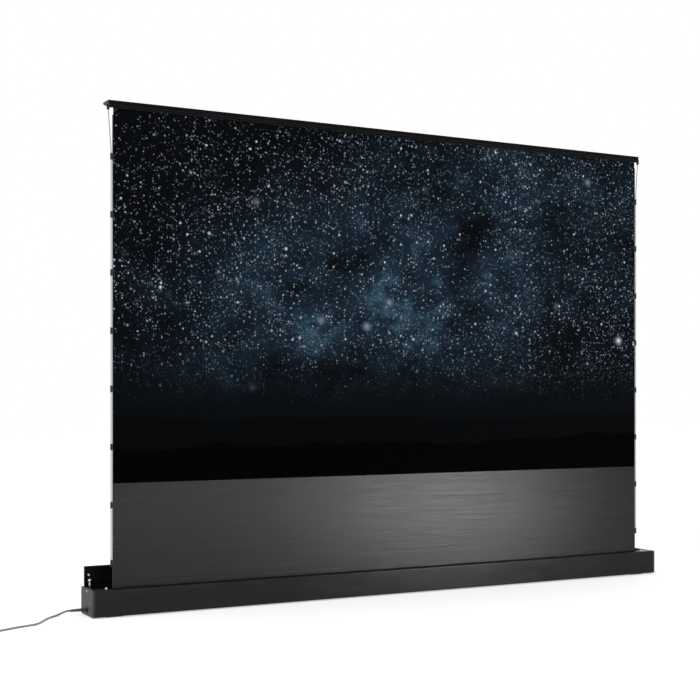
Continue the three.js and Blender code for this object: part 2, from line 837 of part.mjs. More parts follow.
// Knee arms: each side's lower and upper bar, their elbow pin and the top pin
function kneeArms() {
  for (const [side, sign] of [["left", -1], ["right", 1]]) {
    const rise = sign < 0 ? armAngle : Math.PI - armAngle;
    const lower = new THREE.Group();
    lower.position.set(sign * pivotX, 0, pivotHeight);
    lower.rotation.y = -rise;
    add("lower_arm_" + side, armBar(lowerArmFront), armSilver, lower);
    const upper = new THREE.Group();
    upper.position.set(sign * elbowX, 0, elbowZ);
    upper.rotation.y = rise - Math.PI;
    add("upper_arm_" + side, armBar(upperArmFront), armSilver, upper);
    screen.add(lower, upper);
  }
  const elbowRear = lowerArmFront + armThickness + seat;
  const elbowFront = upperArmFront - seat;
  addPair(
    "elbow_pin",
    join(
      barY(pinRadius, elbowFront - overrun / 2, elbowRear + overrun / 2, -elbowX, elbowZ),
      barY(pinHeadRadius, elbowFront - pinHeadThickness, elbowFront, -elbowX, elbowZ),
      barY(pinHeadRadius, elbowRear, elbowRear + pinHeadThickness, -elbowX, elbowZ),
    ),
    silver,
  );
  const topPivotZ = raisedTop - pivotDrop;
  const pinRear = upperArmFront + armThickness - seat;
  addPair("top_pin", barY(pinRadius, earFront, pinRear, -pivotX, topPivotZ), silver);
}

// Top bar: a stepped face and a wide top plate, with an ear for each arm
function topBar() {
  const top = raisedTop;
  const y0 = topBarFront;
  const y1 = topBarFront + topBarDepth;
  const back = fabricY - fabricThickness / 2 - seat;
  const bottom = top - topBarHeight;
  const under = top - topBarPlate;
  const ribY = y0 + topBarRibPlace;
  const section = outline([
    [y0, top, edgeRadius],
    [y1, top, edgeRadius],
    [y1, top - topBarLip],
    [y1 - topBarRibWidth, top - topBarLip],
    [y1 - topBarRibWidth, under],
    [ribY + topBarRibWidth, under],
    [ribY + topBarRibWidth, top - topBarRib],
    [ribY, top - topBarRib],
    [ribY, under],
    [back, under],
    [back, bottom],
    [y0, bottom],
    [y0, bottom + footBand],
    [y0 + faceStep, bottom + footBand],
    [y0 + faceStep, top - grooveTop],
    [y0, top - grooveTop],
  ]);
  const half = topBarHalf - topCapThickness - seat;
  const bar = alongX(section, -half, half);
  const pivotZ = top - pivotDrop;
  const ears = [-pivotX, pivotX].map((x) =>
    alongY(
      outline([
        [x - earWidth / 2, pivotZ - armWidth / 2, armWidth / 2],
        [x + earWidth / 2, pivotZ - armWidth / 2, armWidth / 2],
        [x + earWidth / 2, under + topBarPlate / 2],
        [x - earWidth / 2, under + topBarPlate / 2],
      ]),
      earFront,
      earFront + earThickness,
    ),
  );
  const bores = [-pivotX, pivotX].map((x) =>
    barY(pinRadius + seat, earFront - overrun, earFront + earThickness + overrun, x, pivotZ),
  );
  return cut(join(bar, ...ears), ...bores);
}

// The bar's wedge-shaped end
function topBarEnd() {
  const y1 = topBarFront + topBarDepth;
  const section = outline([
    [topBarFront, raisedTop, edgeRadius],
    [y1, raisedTop, edgeRadius],
    [y1, raisedTop - tipHeight, edgeRadius],
    [topBarFront + topBarAhead, raisedTop - topBarHeight, cornerRadius],
    [topBarFront, raisedTop - topBarHeight, edgeRadius],
  ]);
  return alongX(section, -topBarHalf, -topBarHalf + topCapThickness);
}

// Cord anchor: a small hook plate under the bar's end
function cordAnchor() {
  const out = -topBarHalf - anchorReach;
  const low = raisedTop - topBarHeight - seat - anchorFoot;
  const section = outline([
    [out, low, edgeRadius],
    [-anchorX + anchorFoot / 2, low, edgeRadius],
    [-anchorX + anchorFoot / 2, low + anchorFoot],
    [-topBarHalf - seat, low + anchorFoot],
    [-topBarHalf - seat, low + anchorHeight],
    [out, low + anchorHeight, edgeRadius],
  ]);
  return alongY(section, fabricY - anchorWidth / 2, fabricY + anchorWidth / 2);
}

// Tab strip: the welded edge strip with its tabs, whose eyelets hold the cord
const tabStep = (highestTab - lowestTab) / (tabCount - 1);
function tabStrip() {
  const x0 = -fabricHalf - seat;
  const half = stripThickness / 2;
  const strip = block(x0 - stripWidth, x0, fabricY - half, fabricY + half, stripBottom, stripTop);
  const tabHalf = tabThickness / 2;
  const tabs = [];
  const bores = [];
  for (let i = 0; i < tabCount; i++) {
    const z0 = lowestTab + i * tabStep - tabHeight / 2;
    const z1 = z0 + tabHeight;
    tabs.push(block(-cordX + eyeletBore, x0 - half, fabricY - tabHalf, fabricY + tabHalf, z0, z1));
    tabs.push(alongZ(circle(eyeletRadius, -cordX, fabricY, 12), z0, z1));
    const bore = circle(eyeletBore, -cordX, fabricY, 8);
    if (i > 0) bores.push(alongZ(bore, z0 - overrun, z1 + overrun));
  }
  return cut(join(strip, ...tabs), ...bores);
}

// Tension cord: upright through the tabs, then slanted out to its anchor
function tensionCord() {
  const low = lowestTab + tabHeight / 2 + seat;
  const bend = new THREE.Vector3(-cordX, fabricY, highestTab + tabHeight);
  const end = new THREE.Vector3(-anchorX, fabricY, raisedTop - topBarHeight - 3 * seat - anchorFoot);
  const slope = end.clone().sub(bend);
  const reach = slope.length();
  const profile = [[0, 0], [tensionCordRadius, 0], [tensionCordRadius, reach], [0, reach]];
  const slanted = turned(profile, slope.normalize(), 8).translate(bend.x, bend.y, bend.z);
  return join(alongZ(circle(tensionCordRadius, -cordX, fabricY, 8), low, bend.z + seat), slanted);
}

// A cloth panel in the fabric's plane
function cloth(z0, z1) {
  const half = fabricThickness / 2;
  return block(-fabricHalf, fabricHalf, fabricY - half, fabricY + half, z0, z1);
}

// Control unit: a moulded box on the floor behind the front wall
function controlUnit() {
  const x0 = -baseHalf + unitPlace;
  const y0 = baseFront + baseWall + seat + unitSetback;
  const z0 = floorTop + seat;
  const end = x0 + unitLength;
  const plan = rectangle(x0, end, y0, y0 + unitDepth, unitCorner);
  const box = alongZ(plan, z0, z0 + unitHeight, edgeRadius);
  const middle = y0 + unitDepth / 2;
  const glands = glandShares.map((share) =>
    barX(unitGlandRadius, end - overrun, end + unitGlandReach, middle, z0 + share * unitHeight),
  );
  return join(box, ...glands);
}

// Strain relief: a grooved taper on the left end cap
function strainRelief() {
  const profile = [
    [0, -capThickness + capBevel],
    [glandRadius, -capThickness + capBevel],
    [glandRadius, seat],
    [reliefRadius, seat],
    [reliefRadius, reliefCollar],
  ];
  const ringStep = (reliefLength - reliefCollar) / (2 * reliefRings + 1);
  for (let i = 1; i <= 2 * reliefRings; i++) {
    const share = i / (2 * reliefRings + 1);
    const radius = THREE.MathUtils.lerp(reliefRadius - reliefShoulder, reliefTip, share);
    const place = reliefCollar + i * ringStep;
    profile.push([radius - (i % 2 ? reliefGroove : 0), place - ringStep / 2]);
    profile.push([radius - (i % 2 ? reliefGroove : 0), place + ringStep / 4]);
  }
  profile.push([reliefTip, reliefLength], [0, reliefLength]);
  return turned(profile, new THREE.Vector3(-1, 0, 0)).translate(-baseHalf, exitY, exitHeight);
}

// Mains cord: the free stretch, the stored coil and the plug
const routePoints = cordRoute.map(
  ([out, back, rise]) => new THREE.Vector3(-baseHalf - reliefLength - out, exitY + back, cordFloor + rise),
);
const routeEnd = routePoints.at(-1);
const heading = routeEnd.clone().sub(routePoints.at(-2)).setZ(0).normalize();
const coilRadius = (turns) => coilInner + coilPitch * Math.abs(turns - coilTurnsHalf);

// The coil winds clockwise from the free stretch: in on the floor, up a layer, and out again.
function coilPoint(turns) {
  const side = new THREE.Vector3(heading.y, -heading.x, 0);
  const start = routeEnd.clone().addScaledVector(heading, seat + 2 * cordRadius);
  const centre = start.clone().addScaledVector(side, coilRadius(0));
  const turn = 2 * Math.PI * turns;
  const climb = THREE.MathUtils.smoothstep(turns, coilTurnsHalf - 1 / 4, coilTurnsHalf + 1 / 4);
  return centre
    .addScaledVector(side, -coilRadius(turns) * Math.cos(turn))
    .addScaledVector(heading, coilRadius(turns) * Math.sin(turn))
    .setZ(routeEnd.z + climb * coilPitch);
}

function coilPoints() {
  const end = 2 * coilTurnsHalf;
  const points = [routeEnd.clone().addScaledVector(heading, seat)];
  for (let i = 0; i <= end * coilSteps; i++) points.push(coilPoint(i / coilSteps));
  const last = points.at(-1);
  const leave = last.clone().sub(points.at(-2)).setZ(0).normalize();
  const drop = last.z - plugThickness / 2;
  for (const share of tailShares) {
    const fall = THREE.MathUtils.smoothstep(share, ...tailFall);
    const point = last.clone().addScaledVector(leave, share * coilTail);
    points.push(point.setZ(last.z - drop * fall));
  }
  return { points, leave };
}

// Least clear gap between turns, over half a turn apart along the cord.
function leastGap(points, radius) {
  let least = Infinity;
  for (let i = 0; i < points.length; i++)
    for (let k = i + coilSteps / 2; k < points.length; k++)
      least = Math.min(least, points[i].distanceTo(points[k]) - 2 * radius);
  return least;
}

function powerCord() {
  const route = new THREE.CatmullRomCurve3(routePoints, false, "centripetal");
  const steps = Math.round(route.getLength() / (cordStepShare * cordRadius));
  add("power_cord", tube(route, cordRadius, cordSides, steps), cordGrey);
  const { points, leave } = coilPoints();
  const coil = new THREE.CatmullRomCurve3(points, false, "centripetal");
  add("cord_coil", tube(coil, cordRadius, coilSides, points.length - 1), cordGrey);
  console.log("coil: least gap", leastGap(coil.getSpacedPoints(4 * points.length), cordRadius).toFixed(2));
  const length = reliefLength + route.getLength() + coil.getLength();
  console.log("cord length", (length / 1000).toFixed(2), "m");
  const plug = mainsPlug();
  plug.rotateZ(Math.atan2(leave.y, leave.x));
  const place = points.at(-1).clone().addScaledVector(leave, seat);
  add("mains_plug", plug.translate(place.x, place.y, 0), blackPlastic);
}

// Two-pin plug lying flat, its cord side at the origin and its pins along +X
function mainsPlug() {
  const waist = plugWaist / 2;
  const half = plugWidth / 2;
  const waistEnd = plugCollar + plugBodyLength * plugWaistShare;
  const flareEnd = plugCollar + plugBodyLength * plugFlareShare;
  const end = plugCollar + plugBodyLength;
  const body = outline([
    [plugCollar, -waist, cornerRadius],
    [waistEnd, -waist, plugWaistRadius],
    [flareEnd, -half, plugFlareRadius],
    [end, -half, cornerRadius],
    [end, half, cornerRadius],
    [flareEnd, half, plugFlareRadius],
    [waistEnd, waist, plugWaistRadius],
    [plugCollar, waist, cornerRadius],
  ]);
  const z = plugThickness / 2;
  const collar = turned(
    [
      [0, 0],
      [reliefTip, 0],
      [plugThickness / 2 - plugBevel, plugCollar + overrun],
      [0, plugCollar + overrun],
    ],
    new THREE.Vector3(1, 0, 0),
  ).translate(0, 0, z);
  const pins = [-1, 1].map((sign) =>
    barX(plugPinRadius, end - overrun, end + plugPinLength, (sign * plugPinSpacing) / 2, z),
  );
  return join(alongZ(body, 0, plugThickness, plugBevel), collar, ...pins);
}

// Assembly
add("housing", housing(), charcoal);
add("end_cap_left", endCap(true), greyCap);
add("end_cap_right", mirrored(endCap(false)), greyCap);
const outwards = new THREE.Vector3(-1, 0, 0);
const capScrew = screw(screwHeadRadius, screwHeadHeight, capThickness + lugReach, outwards);
addPair("cap_screw", capScrew.translate(-baseHalf - seat, screwY, screwZ), silver);
add("service_socket", serviceSocket(), blackPlastic);
feet();
addPair("roller_bracket", rollerBracket(stubRadius), blackMetal);
addPair("end_cover", endCover(), charcoal);
const coverScrew = screw(coverScrewRadius, coverScrewHeight, capThickness, new THREE.Vector3(0, 0, 1));
addPair("cover_screw", coverScrew.translate(...coverScrewXY, baseTop + seat), silver);
roller();
addPair("arm_bracket", armBracket(), blackMetal);
addPair("base_pin", basePin(), silver);
addPair("lift_spring", liftSpring(), silver);
add("control_unit", controlUnit(), blackPlastic);

const lid = new THREE.Group();
lid.position.set(0, hingeY, hingeZ);
lid.rotation.x = -Math.PI / 2;
add("lid", lidPanel(), blackMetal, lid);
addPair("lid_strap", lidStrap(), blackMetal, lid);
addPair("stay_bracket", stayBracket(), blackMetal, lid);
screen.add(lid);
addPair("lid_stay", lidStay(-stayX, hingeY - ballDrop, hingeZ + ballPlace), silver);

kneeArms();
add("top_bar", topBar(), blackMetal);
addPair("top_bar_end", topBarEnd(), greyCap);
addPair("cord_anchor", cordAnchor(), blackMetal);
addPair("tab_strip", tabStrip(), blackCloth);
addPair("tension_cord", tensionCord(), cordGrey);
add("viewing_fabric", cloth(pictureBottom, raisedTop - topBarPlate - seat), pictureCloth);
add("leader_fabric", cloth(rollerHeight, pictureBottom - seat), blackCloth);
add("strain_relief", strainRelief(), blackPlastic);
powerCord();

export default screen;
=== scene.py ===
"""Floor-rising projection screen: finishes, cloth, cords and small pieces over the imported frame."""
import bmesh
import bpy
import math
from mathutils import Matrix, Vector, noise


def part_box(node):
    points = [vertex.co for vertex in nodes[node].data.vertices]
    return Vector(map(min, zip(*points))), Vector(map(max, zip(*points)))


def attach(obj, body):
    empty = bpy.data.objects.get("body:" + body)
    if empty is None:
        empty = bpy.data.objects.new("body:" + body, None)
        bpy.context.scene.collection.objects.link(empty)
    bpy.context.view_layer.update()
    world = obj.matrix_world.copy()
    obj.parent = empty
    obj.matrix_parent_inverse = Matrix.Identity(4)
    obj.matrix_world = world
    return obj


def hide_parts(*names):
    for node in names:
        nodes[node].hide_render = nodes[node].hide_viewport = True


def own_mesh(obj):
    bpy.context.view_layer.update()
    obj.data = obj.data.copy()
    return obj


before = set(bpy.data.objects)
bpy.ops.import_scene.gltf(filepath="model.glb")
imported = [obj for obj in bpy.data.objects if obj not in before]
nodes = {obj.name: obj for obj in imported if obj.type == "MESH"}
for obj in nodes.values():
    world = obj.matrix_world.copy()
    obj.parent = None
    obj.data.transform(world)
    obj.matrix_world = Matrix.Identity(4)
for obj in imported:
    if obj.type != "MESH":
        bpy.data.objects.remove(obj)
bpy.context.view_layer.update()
scene = bpy.context.scene
MM = 0.001


# Colours and nodes
def lin(text):
    """An sRGB hex colour as linear red, green, blue and a full alpha."""
    values = [int(text[i:i + 2], 16) / 255 for i in (1, 3, 5)]
    return [v / 12.92 if v <= 0.04045 else ((v + 0.055) / 1.055) ** 2.4 for v in values] + [1.0]


def add(tree, kind, ins=(), out=0, stops=(), **settings):
    """Adds a node with its settings, and gives back one of its outputs. Its inputs are values or other
    nodes' outputs, in order or by name or number, and stops are a colour ramp's places and colours."""
    node = tree.nodes.new("ShaderNode" + kind)
    for key, value in settings.items():
        setattr(node, key, value)
    for key, value in ins.items() if isinstance(ins, dict) else enumerate(ins):
        if isinstance(value, bpy.types.NodeSocket):
            tree.links.new(value, node.inputs[key])
        else:
            node.inputs[key].default_value = value
    for i, (place, colour) in enumerate(stops):
        mark = node.color_ramp.elements[i] if i < 2 else node.color_ramp.elements.new(place)
        mark.position, mark.color = place, lin(colour)
    return node.outputs[out] if node.outputs else None


# A colour mix's sockets: how much of its second colour, the two colours, and what comes out.
SHARE, FIRST, SECOND, MIXED = 0, 6, 7, 2

# A pattern doesn't change along an axis where its step is this many mm.
EVEN = 1e6


def new_material(name):
    material = bpy.data.materials.new(name)
    material.use_nodes = True
    material.node_tree.nodes.clear()
    return material, material.node_tree


def laid_out(tree, steps, **more):
    """The inputs that lay a pattern out over the object, in steps of that many mm along X, Y and Z, and
    any more inputs that the pattern takes."""
    place = add(tree, "TexCoord", out="Object")
    counted = add(tree, "Mapping", {"Vector": place, "Scale": [1 / (step * MM) for step in steps]})
    return {"Vector": counted, "Scale": 1.0, **more}


def rubbed_edges(tree, radius_mm, most):
    """How worn the surface is, from 0 on flat faces to most on sharp corners: the turn that a rounding
    of that radius would give it."""
    rounded = add(tree, "Bevel", {"Radius": radius_mm * MM}, samples=4)
    true = add(tree, "NewGeometry", out="Normal")
    alike = add(tree, "VectorMath", (rounded, true), "Value", operation="DOT_PRODUCT")
    turned_away = add(tree, "Math", (1.0, alike), operation="SUBTRACT")
    worn = add(tree, "Math", (turned_away, 3.0), operation="MULTIPLY", use_clamp=True)
    return add(tree, "Math", (worn, most), operation="MULTIPLY")


# Finishes
def anodised_extrusion(name, dark, light, worn, rough, specular):
    """Extruded aluminium, blasted and dyed dark. The oxide coat hides the metal, so the eye gets a satin
    near-black with long faint die lines, slightly cloudy, and paler where corners have rubbed."""
    material, tree = new_material(name)
    # Die lines and blasting are about 0.1 mm wide, and are drawn coarser so that they show.
    die_lines = add(tree, "TexNoise", laid_out(tree, (260, 0.9, 0.9), Detail=3))
    blasting = add(tree, "TexNoise", laid_out(tree, (0.5, 0.5, 0.5)))
    cloud = add(tree, "TexNoise", laid_out(tree, (190, 60, 45), Detail=3))
    tone = add(tree, "Math", (die_lines, cloud), operation="ADD")
    half = add(tree, "Math", (tone, 0.5), operation="MULTIPLY")
    dye = add(tree, "ValToRGB", (half,), stops=((0.3, dark), (0.7, light)))
    rub = rubbed_edges(tree, radius_mm=0.5, most=0.55)
    colour = add(tree, "Mix", {SHARE: rub, FIRST: dye, SECOND: lin(worn)}, MIXED, data_type="RGBA")
    relief = add(tree, "Math", (die_lines, blasting), operation="ADD")
    normal = add(tree, "Bump", {"Height": relief, "Distance": 0.01 * MM})
    roughness = add(tree, "MapRange", (cloud, 0.0, 1.0, rough - 0.08, rough + 0.08), clamp=False)
    shader = add(tree, "BsdfPrincipled", {
        "Base Color": colour, "Roughness": roughness, "IOR": 1.5, "Specular IOR Level": specular,
        "Normal": normal})
    add(tree, "OutputMaterial", (shader,))
    return material


def moulded_plastic(name, dark, light, worn, rough, specular, grit=0.45):
    """Plastic or rubber from a spark-eroded mould: an even open grain that dulls the surface, faint flow
    marks from the filling, and corners polished by handling."""
    material, tree = new_material(name)
    # The mould's grit is about 0.1 mm, and is drawn coarser so that it shows.
    grains = add(tree, "TexVoronoi", laid_out(tree, (grit, grit, grit)))
    flow = add(tree, "TexNoise", laid_out(tree, (38, 22, 30), Detail=4))
    pigment = add(tree, "ValToRGB", (flow,), stops=((0.3, dark), (0.72, light)))
    rub = rubbed_edges(tree, radius_mm=0.4, most=0.4)
    colour = add(tree, "Mix", {SHARE: rub, FIRST: pigment, SECOND: lin(worn)}, MIXED, data_type="RGBA")
    normal = add(tree, "Bump", {"Height": grains, "Distance": 0.03 * MM})
    roughness = add(tree, "MapRange", (flow, 0.0, 1.0, rough - 0.1, rough + 0.1), clamp=False)
    shader = add(tree, "BsdfPrincipled", {
        "Base Color": colour, "Roughness": roughness, "IOR": 1.5, "Specular IOR Level": specular,
        "Normal": normal})
    add(tree, "OutputMaterial", (shader,))
    return material


def tooled_metal(name, dark, light, rough, marks_mm):
    """Bare or plated metal with the marks of the tool that made it, which draw the highlight out
    along the work, and duller smears from handling."""
    material, tree = new_material(name)
    marks = add(tree, "TexNoise", laid_out(tree, marks_mm, Detail=3))
    smears = add(tree, "TexNoise", laid_out(tree, (9, 9, 9), Detail=3))
    colour = add(tree, "ValToRGB", (marks,), stops=((0.25, dark), (0.75, light)))
    normal = add(tree, "Bump", {"Height": marks, "Distance": 0.03 * MM})
    roughness = add(tree, "MapRange", (smears, 0.0, 1.0, rough, rough + 0.18), clamp=False)
    shader = add(tree, "BsdfPrincipled", {
        "Base Color": colour, "Metallic": 1.0, "Roughness": roughness, "Normal": normal})
    add(tree, "OutputMaterial", (shader,))
    return material


def plain_weave(tree, thread):
    """Height of threads that cross over and under each other in the X-Z plane, of that width in mm."""
    # A wave has a band every pi / 10 of its own units, so this scale puts one band on each step.
    one_band = math.pi / 10
    wave = laid_out(tree, (thread * 2,) * 3, Scale=one_band)
    across, upright = (add(tree, "TexWave", wave, "Fac", bands_direction=way) for way in ("X", "Z"))
    return add(tree, "Math", (across, upright), operation="MULTIPLY")


def coated_cloth(name, dark, light, rough, specular, thread, groove_depth):
    """Polyester weave under a rolled vinyl coat: a satin black, with the weave just telling through it
    and fine grooves and faint bands across from the rollers, which draw a highlight out upwards."""
    material, tree = new_material(name)
    threads = plain_weave(tree, thread)
    # The rollers' grooves are about 0.2 mm wide, and are drawn at 1.2 mm so that they show.
    grooves = add(tree, "TexNoise", laid_out(tree, (300, 300, 1.2)))
    bands = add(tree, "TexNoise", laid_out(tree, (2600, 2600, 6), Detail=4, Roughness=0.6))
    cloud = add(tree, "TexNoise", laid_out(tree, (240, 240, 160), Detail=3))
    tone = add(tree, "Math", (bands, cloud), operation="ADD")
    half = add(tree, "Math", (tone, 0.5), operation="MULTIPLY")
    vinyl = add(tree, "ValToRGB", (half,), stops=((0.32, dark), (0.68, light)))
    shown = add(tree, "Math", (threads, 0.25), operation="MULTIPLY")
    colour = add(tree, "Mix", {SHARE: shown, FIRST: vinyl, SECOND: lin(light)}, MIXED, data_type="RGBA")
    rolled = add(tree, "Math", (grooves, groove_depth), operation="MULTIPLY")
    relief = add(tree, "Math", (threads, 0.04, rolled), operation="MULTIPLY_ADD")
    normal = add(tree, "Bump", {"Height": relief, "Distance": MM})
    roughness = add(tree, "MapRange", (bands, 0.0, 1.0, rough - 0.07, rough + 0.07), clamp=False)
    shader = add(tree, "BsdfPrincipled", {
        "Base Color": colour, "Roughness": roughness, "IOR": 1.5, "Specular IOR Level": specular,
        "Normal": normal})
    add(tree, "OutputMaterial", (shader,))
    return material


def braided_cord(name, dark, light, rough, strands, pitch_mm):
    """Coated polyester braid: strands that run round it both ways, lighter on their crowns, in a thin
    dull coat. Its UV map counts turns round the cord and metres along it."""
    material, tree = new_material(name)
    uv = add(tree, "TexCoord", out="UV")
    turn = add(tree, "SeparateXYZ", (uv,), "X")
    metres = add(tree, "SeparateXYZ", (uv,), "Y")
    along = add(tree, "Math", (metres, math.tau / (pitch_mm * MM)), operation="MULTIPLY")
    crowns = []
    for hand in (1, -1):
        round_it = add(tree, "Math", (turn, hand * math.tau * strands), operation="MULTIPLY")
        phase = add(tree, "Math", (round_it, along), operation="ADD")
        crowns.append(add(tree, "Math", (phase,), operation="SINE"))
    height = add(tree, "Math", crowns, operation="MAXIMUM")
    colour = add(tree, "ValToRGB", (height,), stops=((0.0, dark), (0.9, light)))
    normal = add(tree, "Bump", {"Height": height, "Distance": 0.1 * MM})
    shader = add(tree, "BsdfPrincipled", {
        "Base Color": colour, "Roughness": rough, "Specular IOR Level": 0.3, "Normal": normal})
    add(tree, "OutputMaterial", (shader,))
    return material


def star_layer(tree, spacing, radius, rarity, focus, glow, clumps):
    """Stars of that radius in mm, in some of the cells of that spacing in mm, and more where they clump.
    A higher focus gathers their light at the middle, and glow is their strength."""
    cell = laid_out(tree, (spacing, EVEN, spacing))
    away = add(tree, "TexVoronoi", cell, "Distance")
    chance = add(tree, "SeparateColor", (add(tree, "TexVoronoi", cell, "Color"),), "Red")
    outwards = add(tree, "Math", (away, radius / spacing), operation="DIVIDE")
    near = add(tree, "Math", (1.0, outwards), operation="SUBTRACT", use_clamp=True)
    disc = add(tree, "Math", (near, focus), operation="POWER")
    bar = add(tree, "MapRange", (clumps, 0.3, 0.7, 0.98, rarity))
    shown = add(tree, "MapRange", (chance, bar, 1.0, 0.0, 1.0))
    lit = add(tree, "Math", (disc, shown), operation="MULTIPLY")
    return add(tree, "Math", (lit, glow), operation="MULTIPLY")


def night_stars(tree, clumps):
    """Stars of several sizes, where the brightest at a place is the one that shows."""
    # Spacing, radius, rarity, focus and glow. The smallest are drawn 5 mm across so that they show, and
    # the last two entries are one set of stars: a bright core and a wide faint halo.
    sizes = ((7, 2.8, 0.2, 0.7, 0.33), (11, 3.8, 0.45, 0.65, 0.62), (24, 5.4, 0.45, 0.8, 0.95),
             (60, 8.0, 0.4, 1.0, 1.0), (150, 14.0, 0.15, 1.2, 1.0), (150, 30.0, 0.15, 2.6, 0.75))
    stars = 0.0
    for size in sizes:
        stars = add(tree, "Math", (stars, star_layer(tree, *size, clumps)), operation="MAXIMUM")
    return stars


def night_haze(tree, across, up, wisps):
    """Haze along a slanted band, which thins out to the sides and is broken up by wisps and clouds."""
    slant = add(tree, "Math", (across, 0.3, 0.52), operation="MULTIPLY_ADD")
    above_band = add(tree, "Math", (up, slant), operation="SUBTRACT")
    off_band = add(tree, "Math", (above_band,), operation="ABSOLUTE")
    band = add(tree, "MapRange", (off_band, 0.0, 0.62, 1.0, 0.0), interpolation_type="SMOOTHSTEP")
    off_middle = add(tree, "Math", (across,), operation="ABSOLUTE")
    sides = add(tree, "MapRange", (off_middle, 0.2, 1.1, 1.0, 0.25), interpolation_type="SMOOTHSTEP")
    body = add(tree, "Math", (band, sides), operation="MULTIPLY")
    clouds = add(tree, "TexNoise", laid_out(tree, (150, EVEN, 110), Detail=5, Roughness=0.6))
    torn = add(tree, "MapRange", (wisps, 0.36, 0.68, 0.0, 1.0))
    thick = add(tree, "MapRange", (clouds, 0.3, 0.7, 0.2, 1.0))
    broken = add(tree, "Math", (torn, thick), operation="MULTIPLY")
    return add(tree, "Math", (body, broken), operation="MULTIPLY")


def night_picture(name, low_z, high_z, half_width):
    """Matt vinyl viewing cloth with a plain night picture of its own on it: stars of several sizes,
    broken haze, and two low hill lines. Matt, so it gives almost no gloss."""
    material, tree = new_material(name)
    place = add(tree, "TexCoord", out="Object")
    across = add(tree, "Math", (add(tree, "SeparateXYZ", (place,), "X"), half_width), operation="DIVIDE")
    up = add(tree, "MapRange", (add(tree, "SeparateXYZ", (place,), "Z"), low_z, high_z, 0.0, 1.0))
    wisps = add(tree, "TexNoise", laid_out(tree, (420, EVEN, 300), Detail=6, Roughness=0.62))
    haze = night_haze(tree, across, up, wisps)
    deep = add(tree, "ValToRGB", (haze,),
               stops=((0.0, "#07080b"), (1.0, "#7f99a8"), (0.3, "#14212c"), (0.6, "#2f4957")))
    warmth = add(tree, "TexNoise", laid_out(tree, (60, EVEN, 60)))
    tint = add(tree, "ValToRGB", (warmth,), stops=((0.35, "#a9c8ec"), (0.65, "#eceeec")))
    # Near the hills the air dims the stars and the haze.
    clear = add(tree, "MapRange", (up, 0.16, 0.42, 0.0, 1.0), interpolation_type="SMOOTHSTEP")
    lit = add(tree, "Math", (night_stars(tree, wisps), clear), operation="MULTIPLY")
    sky = add(tree, "Mix", {SHARE: lit, FIRST: deep, SECOND: tint}, MIXED, data_type="RGBA")
    colour = add(tree, "Mix", {SHARE: clear, FIRST: lin("#07090b"), SECOND: sky}, MIXED, data_type="RGBA")
    # The far hill line, then the near one: the length of its swells in mm and their detail, their height
    # and its foot as shares of the picture, and its shade.
    hill_lines = ((900, 2, 0.16, 0.09, "#050607"), (620, 3, 0.13, 0.03, "#020202"))
    for swell_mm, detail, rise, foot, shade in hill_lines:
        swell = add(tree, "TexNoise", laid_out(tree, (swell_mm, EVEN, EVEN), Detail=detail))
        line = add(tree, "Math", (swell, rise, foot), operation="MULTIPLY_ADD")
        over = add(tree, "Math", (up, line), operation="SUBTRACT")
        above = add(tree, "MapRange", (over, -0.004, 0.004, 0.0, 1.0))
        colour = add(tree, "Mix", {SHARE: above, FIRST: lin(shade), SECOND: colour}, MIXED, data_type="RGBA")
    normal = add(tree, "Bump", {"Height": plain_weave(tree, thread=0.45), "Distance": 0.03 * MM})
    shader = add(tree, "BsdfPrincipled", {
        "Base Color": colour, "Roughness": 0.9, "Specular IOR Level": 0.01, "Normal": normal})
    add(tree, "OutputMaterial", (shader,))
    return material


# Black-dyed housing and end covers: the darkest even satin, a little glossier than paint.
charcoal = anodised_extrusion(
    "anodised_charcoal", "#121011", "#171516", "#515052", rough=0.26, specular=0.112)
# The top bar and lid straps have the same coat with less gloss.
bar_black = anodised_extrusion(
    "anodised_black_bar", "#070708", "#0a0a0b", "#7c7d80", rough=0.42, specular=0.045)
# Powder-coated steel sheet: flatter and blacker than the anodised parts. Its black is partly the coat's
# own and partly painted shade, drawn darker so that the inside of the open lid shows as black as its shade.
black_coat_and_lid_shade = anodised_extrusion(
    "powder_coated_steel_and_lid_shade", "#070708", "#0b0b0c", "#1c1d1e", rough=0.5, specular=0.05)
# ABS end caps, a shade lighter than the housing, so that the end reads as its own part.
cap_grey = moulded_plastic("moulded_grey_abs", "#202020", "#272727", "#6a6a6b", rough=0.45, specular=0.22)
# Glass-filled nylon for sockets and plugs: dull black, with grey corners.
black_plastic = moulded_plastic(
    "moulded_black_nylon", "#111112", "#18181a", "#3a3a3c", rough=0.5, specular=0.35)
# Rubber feet: soft, and matt enough to look grey where light falls on them.
rubber = moulded_plastic(
    "moulded_rubber", "#0d0d0d", "#151515", "#1f1f1f", rough=0.8, specular=0.2, grit=0.8)
# Soft PVC strain relief, a shade darker than the lead that it holds.
relief_grey = moulded_plastic(
    "moulded_grey_pvc", "#525254", "#5f5f61", "#77787a", rough=0.5, specular=0.35)
# Extruded PVC jacket of the mains lead: smooth mid grey with a soft gloss.
cord_jacket = moulded_plastic(
    "extruded_pvc_jacket", "#6f7072", "#7d7e80", "#7d7e80", rough=0.5, specular=0.4, grit=0.3)
# Nickel-plated screws and pins, turned: near mirror, with marks round them.
bright = tooled_metal("plated_steel", "#b4b6b8", "#d6d8da", rough=0.16, marks_mm=(5, 0.4, 5))
# Clear-anodised flat arms, brushed along their length.
arm_metal = tooled_metal("brushed_aluminium", "#8b8d90", "#a8aaad", rough=0.32, marks_mm=(90, 0.5, 0.5))
# Zinc-plated spring wire: grey-white, with fine drawing marks.
zinc = tooled_metal("zinc_plated_wire", "#8d9094", "#b3b6ba", rough=0.28, marks_mm=(3, 3, 0.3))
# Drawn aluminium tube as it left the mill.
tube_metal = tooled_metal("drawn_aluminium", "#9a9ca0", "#b4b6b9", rough=0.35, marks_mm=(120, 1, 1))
